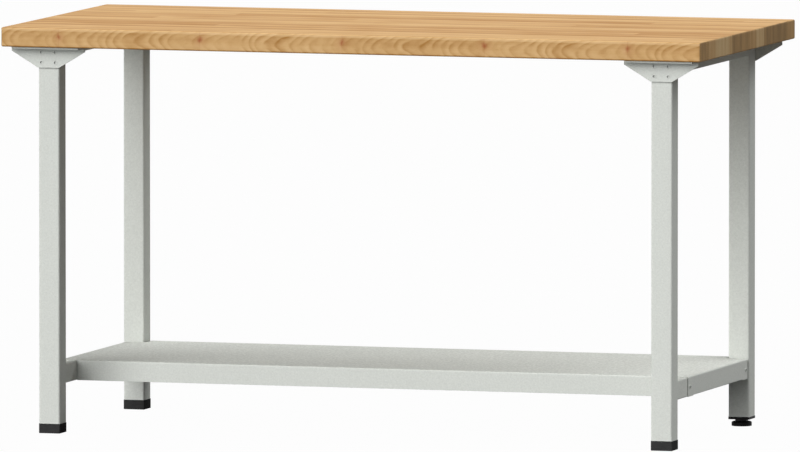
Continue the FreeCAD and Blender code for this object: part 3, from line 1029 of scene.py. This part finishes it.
edit(shelf)
pick(shelf, "EDGE", on_fold)
extrude(0, 0, shelf_low.z - shelf_high.z)
slice_all((0, 0, shelf_low.z + TAB_DROP), Z_AXIS)
for line in (shelf_low.y + TAB_LENGTH, end_rear - TAB_LENGTH):
    slice_all((0, line, 0), Y_AXIS)
delete_faces(shelf, lambda middle, normal: (
    abs(normal.x) > ALIGNED and middle.z < shelf_low.z + TAB_DROP
    and shelf_low.y + TAB_LENGTH < middle.y < end_rear - TAB_LENGTH))
round_edges(shelf, on_fold, SHELF_FOLD)
recalculate()
leave()
face_skin(shelf, Z_AXIS)
thicken(shelf, thickness=1.5 * MM)
soften(shelf, width=SHEET_SOFTNESS)
dress(shelf, "shelf_panel")
print("shelf", len(shelf.data.polygons), "faces")

# %% [markdown]
# ## Turned pieces and screws
#
# A turned piece starts as a disc, and its face is extruded up and resized from ring to ring, as a lathe
# profile is read from one end to the other. A screw's hexagon socket is cut with a six-sided bar.

# %% Tools for turned pieces and screws
SOCKET_SIDES = 6
TURNED_ANGLE = math.radians(35)
HEAD_EASE = 0.3 * MM


def extrude_steps(rings):
    """Extrudes the selected level face through (size, height) pairs. The first pair is the face itself."""
    size, height = rings[0]
    for next_size, next_height in rings[1:]:
        extrude(0, 0, next_height - height)
        ratio = next_size / size
        bpy.ops.transform.resize(value=(ratio, ratio, 1))
        size, height = next_size, next_height


def turned(name, rings, sides=ROUND_SIDES):
    """Solid through discs of the given (radius, height), upward along the Z axis."""
    bpy.ops.object.select_all(action="DESELECT")
    radius, height = rings[0]
    bpy.ops.mesh.primitive_circle_add(
        vertices=sides, radius=radius, fill_type="NGON", location=(0, 0, height))
    piece = bpy.context.object
    piece.name = name
    apply_place(piece)
    edit(piece)
    bpy.ops.mesh.select_all(action="SELECT")
    extrude_steps(rings)
    recalculate()
    leave()
    return piece


def cut_bar(piece, radius, bottom, top, sides, finish):
    """Cuts an upright bar out of a piece, round or six-sided."""
    bpy.ops.object.select_all(action="DESELECT")
    bpy.ops.mesh.primitive_cylinder_add(
        vertices=sides, radius=radius, depth=top - bottom, location=(0, 0, (top + bottom) / 2))
    cut_out(piece, bpy.context.object, finish)


def hexagon_radius(width):
    """Corner radius of a hexagon with a width across flats."""
    return width / math.sqrt(3)


def countersunk(radius, length, tip_radius, tip_length, head_radius, head_depth):
    """Rings of a flush screw from its tip to its head, whose rim is eased."""
    return [(tip_radius, -length), (radius, tip_length - length), (radius, -head_depth),
            (head_radius, -HEAD_EASE / 2), (head_radius - HEAD_EASE, 0)]


def socket_screw(name, rings, finish, socket, depth):
    """Turned screw with a hexagon socket of a width across flats in its head."""
    piece = turned(name, rings)
    piece.data.materials.append(finish)
    top = rings[-1][1]
    # The socket is lined with blackened steel: bare steel, and a painted shade that darkens the recess.
    cut_bar(piece, hexagon_radius(socket), top - depth, top + depth, SOCKET_SIDES,
            FINISHES["blackened_steel"])
    bpy.ops.object.shade_smooth_by_angle(angle=TURNED_ANGLE)
    return piece


def joined(pieces, name):
    """One object from several."""
    bpy.ops.object.select_all(action="DESELECT")
    for piece in pieces:
        piece.select_set(True)
    bpy.context.view_layer.objects.active = pieces[0]
    bpy.ops.object.join()
    pieces[0].name = name
    return pieces[0]


def set_of_screws(pattern, name, places, node, slot="grey_powder_coat"):
    """Copies a screw to (place, axis) pairs, as one piece that stands for a node."""
    copies = [copy_to(pattern, name, place, Z_AXIS.rotation_difference(axis).to_euler())
              for place, axis in places]
    bpy.data.objects.remove(pattern)
    group = joined(copies, name)
    dress(group, node, slot)
    print(name, len(places), "screws", len(group.data.polygons), "faces")


print("tools for turned pieces ready")

# %% [markdown]
# The gusset screws are flush and painted with the frame, so only their sockets show, as dark dots. Their
# sockets are lined with blackened steel, partly bare steel and partly a painted shade in the recess.

# %% Gusset screws
rings = countersunk(radius=3 * MM, length=16 * MM, tip_radius=2.4 * MM, tip_length=0.9 * MM,
                    head_radius=5.5 * MM, head_depth=2.5 * MM)
screw = socket_screw("gusset_screw", rings, COAT, socket=5 * MM, depth=3.2 * MM)
places = []
for corner in CORNERS:
    outward = Y_AXIS if corner.startswith("rear") else -Y_AXIS
    places += [(place, outward) for place in on_leg(corner, screw_places)]
set_of_screws(screw, "gusset_screw_set", places, "gusset_screws")

# %% [markdown]
# The shelf is held by small button-head screws, one in each tab of the end flanges. A button head is a
# low dome with a flat top, which a few rings on a sphere describe.

# %% Shelf screws
SHELF_HEAD_RADIUS = 4 * MM
SHELF_HEAD_RISE = 2 * MM
SHELF_FLAT_RADIUS = 3 * MM
SHELF_SCREW_RADIUS = 2.25 * MM
SHELF_SCREW_LENGTH = 12 * MM
SHELF_SCREW_END = 14 * MM
DOME_STEPS = 5

# The sphere's centre lies as far from the rim of the head as from the rim of its flat top.
narrowing = SHELF_HEAD_RADIUS ** 2 - SHELF_FLAT_RADIUS ** 2
centre = (narrowing - SHELF_HEAD_RISE ** 2) / (2 * SHELF_HEAD_RISE)
sphere = math.hypot(SHELF_HEAD_RADIUS, centre)
rings = [(SHELF_SCREW_RADIUS, -SHELF_SCREW_LENGTH), (SHELF_SCREW_RADIUS, 0), (SHELF_HEAD_RADIUS, 0)]
for step in range(1, DOME_STEPS + 1):
    rise = SHELF_HEAD_RISE * step / DOME_STEPS
    rings.append((math.sqrt(sphere ** 2 - (centre + rise) ** 2), rise))
screw = socket_screw("shelf_screw", rings, COAT, socket=3.5 * MM, depth=1.5 * MM)
screw_height = (rail_low.z + rail_high.z) / 2
places = []
for side in (-1, 1):
    for y in (shelf_low.y + SHELF_SCREW_END, end_rear - SHELF_SCREW_END):
        places.append((Vector((side * shelf_high.x, y, screw_height)), side * X_AXIS))
set_of_screws(screw, "shelf_screw_set", places, "shelf_screws")

# %% [markdown]
# The board is held by countersunk wood screws that come up through the gusset lips. Their heads are flush
# with the undersides of the lips, so the lips have conical seats of their own.

# %% Worktop screws
rings = countersunk(radius=2.5 * MM, length=28 * MM, tip_radius=0.5 * MM, tip_length=5 * MM,
                    head_radius=5 * MM, head_depth=2.5 * MM)
screw = socket_screw("wood_screw", rings, FINISHES["zinc_plated_steel"], socket=3.5 * MM, depth=1.8 * MM)
places = [(place, -Z_AXIS) for corner in CORNERS for place in on_leg(corner, lip_places)]
set_of_screws(screw, "worktop_screw_set", places, "worktop_screws", "zinc_plated_steel")

# %% [markdown]
# ## Levelling foot
#
# The rear right leg stands on an adjustable foot: a plastic pad, and a spindle with a hexagon collar for the
# spanner. When the foot is wound out, its thread shows, so the thread is modelled: a small triangle is
# wound round the core by the Screw modifier.

# %% Levelling spindle
PITCH = 1.5 * MM
SPINDLE_RADIUS = 5 * MM
THREAD_DEPTH = 0.75 * MM
THREAD_STEPS = 32
TOOTH_CORNERS = 3
PLAIN_TURNS = 2
COLLAR_WIDTH = 24 * MM
COLLAR_HEIGHT = 4.4 * MM
COLLAR_EASE = 0.5 * MM
NECK_RADIUS = 4.5 * MM
BUTTON_RADIUS = 6 * MM
BUTTON_HEIGHT = 3 * MM
TURNING_AIR = 0.3 * MM

spindle_low, spindle_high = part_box("levelling_spindle")
pad_low, pad_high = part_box("levelling_pad")
foot_axis = upright_axis(pad_low, pad_high)
collar_bottom = pad_high.z + TURNING_AIR
collar_top = collar_bottom + COLLAR_HEIGHT
core_radius = SPINDLE_RADIUS - THREAD_DEPTH
core = turned("spindle_core", [
    (BUTTON_RADIUS, spindle_low.z), (BUTTON_RADIUS, spindle_low.z + BUTTON_HEIGHT),
    (NECK_RADIUS, spindle_low.z + BUTTON_HEIGHT), (NECK_RADIUS, collar_top),
    (core_radius, collar_top), (core_radius, spindle_high.z - PITCH),
    (core_radius - THREAD_DEPTH, spindle_high.z)])
collar_radius = hexagon_radius(COLLAR_WIDTH)
collar = turned("spindle_collar", [
    (COLLAR_WIDTH / 2, collar_bottom), (collar_radius, collar_bottom + COLLAR_EASE),
    (collar_radius, collar_top - COLLAR_EASE), (COLLAR_WIDTH / 2, collar_top)], sides=SOCKET_SIDES)
bpy.ops.object.select_all(action="DESELECT")
bpy.ops.mesh.primitive_circle_add(
    vertices=TOOTH_CORNERS, radius=PITCH / math.sqrt(3), fill_type="NOTHING")
thread = bpy.context.object
thread.rotation_euler = (math.pi / 2, math.pi / 2, 0)
thread.scale = (1, THREAD_DEPTH / PITCH, 1)
apply_place(thread)
tooth_reach = max(corner.co.x for corner in thread.data.vertices)
thread.location = (SPINDLE_RADIUS - tooth_reach, 0, collar_top + PITCH / 2)
apply_place(thread)
turns = int((spindle_high.z - collar_top) / PITCH) - PLAIN_TURNS
modify(thread, "SCREW", axis="Z", angle=2 * math.pi, screw_offset=PITCH, iterations=turns,
       steps=THREAD_STEPS, render_steps=THREAD_STEPS, use_merge_vertices=True)
edit(thread)
bpy.ops.mesh.select_all(action="SELECT")
bpy.ops.mesh.fill_holes(sides=TOOTH_CORNERS)
recalculate()
leave()
spindle = joined([core, collar, thread], "levelling_spindle_threaded")
bpy.ops.object.shade_smooth_by_angle(angle=TURNED_ANGLE)
spindle.location = foot_axis
apply_place(spindle)
dress(spindle, "levelling_spindle", "blackened_steel", body="levelling_spindle")
print("spindle", len(spindle.data.polygons), "faces,", turns, "turns of thread")

# %% [markdown]
# The pad is turned too. Its profile runs up the rim, over the crown and down into the stepped bore, where the
# button of the spindle is held.

# %% Levelling pad
PAD_RIM_EASE = 0.6 * MM
PAD_RIM_HEIGHT = 8 * MM
PAD_CROWN_RADIUS = 18 * MM
PAD_FLOOR = 2 * MM
WIDE_ROUND_SIDES = 64

pad_radius = (pad_high.x - pad_low.x) / 2
mouth = NECK_RADIUS + TURNING_AIR
chamber = BUTTON_RADIUS + TURNING_AIR
shoulder = spindle_low.z + BUTTON_HEIGHT + TURNING_AIR
pad = turned("levelling_pad_round", [
    (pad_radius - PAD_RIM_EASE, 0), (pad_radius, PAD_RIM_EASE), (pad_radius, PAD_RIM_HEIGHT),
    (PAD_CROWN_RADIUS, pad_high.z), (mouth, pad_high.z), (mouth, shoulder), (chamber, shoulder),
    (chamber, PAD_FLOOR)], sides=WIDE_ROUND_SIDES)
soften(pad, width=0.5 * MM, segments=3)
pad.location = foot_axis
apply_place(pad)
# The pad gets the darker plastic, a painted shade.
pad.data.materials.append(SHADED_FOOT_PLASTIC)
dress(pad, "levelling_pad", "black_plastic", body="levelling_pad")
print("pad", len(pad.data.polygons), "faces")

# %% [markdown]
# ## Foot caps and insert
#
# A cap is a square block with a ribbed plug on top that grips the inside of the tube. The block's top face
# is inset and pulled up, and each rib is a step outward and back. The upright edges come last: rounded on
# the block and cut on the plug. Rounded first, they would cross each other in the inset.

# %% Foot caps
CAP_CORNERS = CORNERS[:3]
PLUG_WIDTH = 34 * MM
RIB_WIDTH = 40.4 * MM
RIB_THICKNESS = 1.6 * MM
RIB_COUNT = 3
HOLLOW_WIDTH = 28 * MM


def plugged_block(name, low, high, step, hollow):
    """Square block up to a step, with a ribbed plug above it, hollow or not, round the Z axis."""
    middle = upright_axis(low, high)
    piece = add_block(name, low - middle, Vector((high.x, high.y, step)) - middle)
    edit(piece)
    pick(piece, "FACE", lambda centre, normal: normal.z > ALIGNED)
    bpy.ops.mesh.inset(thickness=(high.x - low.x - PLUG_WIDTH) / 2)
    steps = [(PLUG_WIDTH, step)]
    pitch = (high.z - step) / RIB_COUNT
    for rib in range(RIB_COUNT):
        top = step + (rib + 1) * pitch
        steps += [(PLUG_WIDTH, top - RIB_THICKNESS), (RIB_WIDTH, top - RIB_THICKNESS), (RIB_WIDTH, top)]
        if rib + 1 < RIB_COUNT:
            steps.append((PLUG_WIDTH, top))
    if hollow:
        steps += [(HOLLOW_WIDTH, high.z), (HOLLOW_WIDTH, step)]
    extrude_steps(steps)
    upright = along(Z_AXIS)
    round_edges(piece, lambda centre, way: upright(centre, way) and centre.z > step,
                radius=2.5 * MM, segments=1)
    round_edges(piece, lambda centre, way: upright(centre, way) and centre.z < step,
                radius=2 * MM, segments=4)
    recalculate()
    round_edges(piece, lambda centre, way: abs(centre.z - low.z) < NEAR, radius=0.8 * MM, segments=2)
    leave()
    smooth(piece)
    return piece


leg_bottom = leg_low.z
cap = plugged_block("foot_cap_pattern", *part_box("foot_cap_front_right"), leg_bottom, hollow=True)
for corner in CAP_CORNERS:
    node = f"foot_cap_{corner}"
    foot = copy_to(cap, f"foot_cap_{corner}_moulded", upright_axis(*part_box(node)))
    dress(foot, node, "black_plastic")
bpy.data.objects.remove(cap)
print("caps", len(CAP_CORNERS), "with", len(foot.data.polygons), "faces each")

# %% [markdown]
# The insert over the levelling foot is the same plug with a thin flange. A round recess takes the collar, a
# hexagon seat the nut, and a bore the spindle. Booleans cut all three from below.

# %% Levelling insert
COLLAR_RECESS = 5 * MM
RECESS_AIR = 0.6 * MM
NUT_WIDTH = 17 * MM
NUT_HEIGHT = 8 * MM
NUT_AIR = 0.2 * MM

insert_low, insert_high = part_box("levelling_insert")
insert = plugged_block("levelling_insert_moulded", insert_low, insert_high, leg_bottom, hollow=False)
# The insert gets the darker plastic, a painted shade.
insert.data.materials.append(SHADED_FOOT_PLASTIC)
nut_bottom = insert_low.z + COLLAR_RECESS
bars = (
    (collar_radius + RECESS_AIR, insert_low.z - COLLAR_RECESS, nut_bottom, WIDE_ROUND_SIDES),
    (hexagon_radius(NUT_WIDTH + 2 * NUT_AIR), insert_low.z, nut_bottom + NUT_HEIGHT, SOCKET_SIDES),
    (SPINDLE_RADIUS + RECESS_AIR, insert_low.z, insert_high.z + COLLAR_RECESS, ROUND_SIDES),
)
for radius, bottom, top, sides in bars:
    cut_bar(insert, radius, bottom, top, sides, SHADED_FOOT_PLASTIC)
bpy.ops.object.shade_smooth_by_angle(angle=SMOOTH_ANGLE)
insert.location = upright_axis(insert_low, insert_high)
apply_place(insert)
dress(insert, "levelling_insert", "black_plastic")
print("insert", len(insert.data.polygons), "faces")

# %% [markdown]
# ## Shelf stiffener
#
# A hat-shaped strip keeps the shelf flat. Its skin is a plane for the crown, with both long edges pulled up
# and then outward. The four folds are rounded, and Solidify gives the sheet its thickness.

# %% Shelf stiffener
STRIP_THICKNESS = 1.5 * MM
STRIP_BRIM = 14.5 * MM
STRIP_OUTER_FOLD = 3.5 * MM
STRIP_INNER_FOLD = 2 * MM

strip_low, strip_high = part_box("shelf_stiffener")
crown_low = strip_low.y + STRIP_BRIM
crown_high = strip_high.y - STRIP_BRIM
brim_level = strip_high.z - STRIP_THICKNESS
strip = add_sheet("shelf_stiffener_hat", strip_high.x - strip_low.x, crown_low, crown_high, strip_low.z)
edit(strip)
for line, outward in ((crown_low, -1), (crown_high, 1)):
    pick(strip, "EDGE", lambda middle, way: (
        abs(middle.y - line) < NEAR and middle.z < strip_low.z + NEAR))
    extrude(0, 0, brim_level - strip_low.z)
    extrude(0, outward * STRIP_BRIM, 0)
for level, radius in ((strip_low.z, STRIP_OUTER_FOLD), (brim_level, STRIP_INNER_FOLD)):
    round_edges(strip, lambda middle, way: abs(way.x) > ALIGNED and abs(middle.z - level) < NEAR and (
        min(abs(middle.y - crown_low), abs(middle.y - crown_high)) < NEAR), radius, segments=4)
recalculate()
leave()
face_skin(strip, -Z_AXIS)
thicken(strip, STRIP_THICKNESS)
soften(strip, width=SHEET_SOFTNESS)
dress(strip, "shelf_stiffener")
print("stiffener", len(strip.data.polygons), "faces")

# %% [markdown]
# ## CAD piece that stays
#
# The nut is hidden in the insert. It keeps its CAD shape and only gets its finish here.

# %% Finish of the CAD piece
slots = {part["node"]: part["material_slot"] for part in frame["record"]["subparts"]}
kept = [name for name, node in frame["nodes"].items() if not node.hide_render]
for name in kept:
    mesh = frame["nodes"][name].data
    mesh.materials.clear()
    mesh.materials.append(FINISHES[slots[name]])
print("CAD pieces kept", kept)
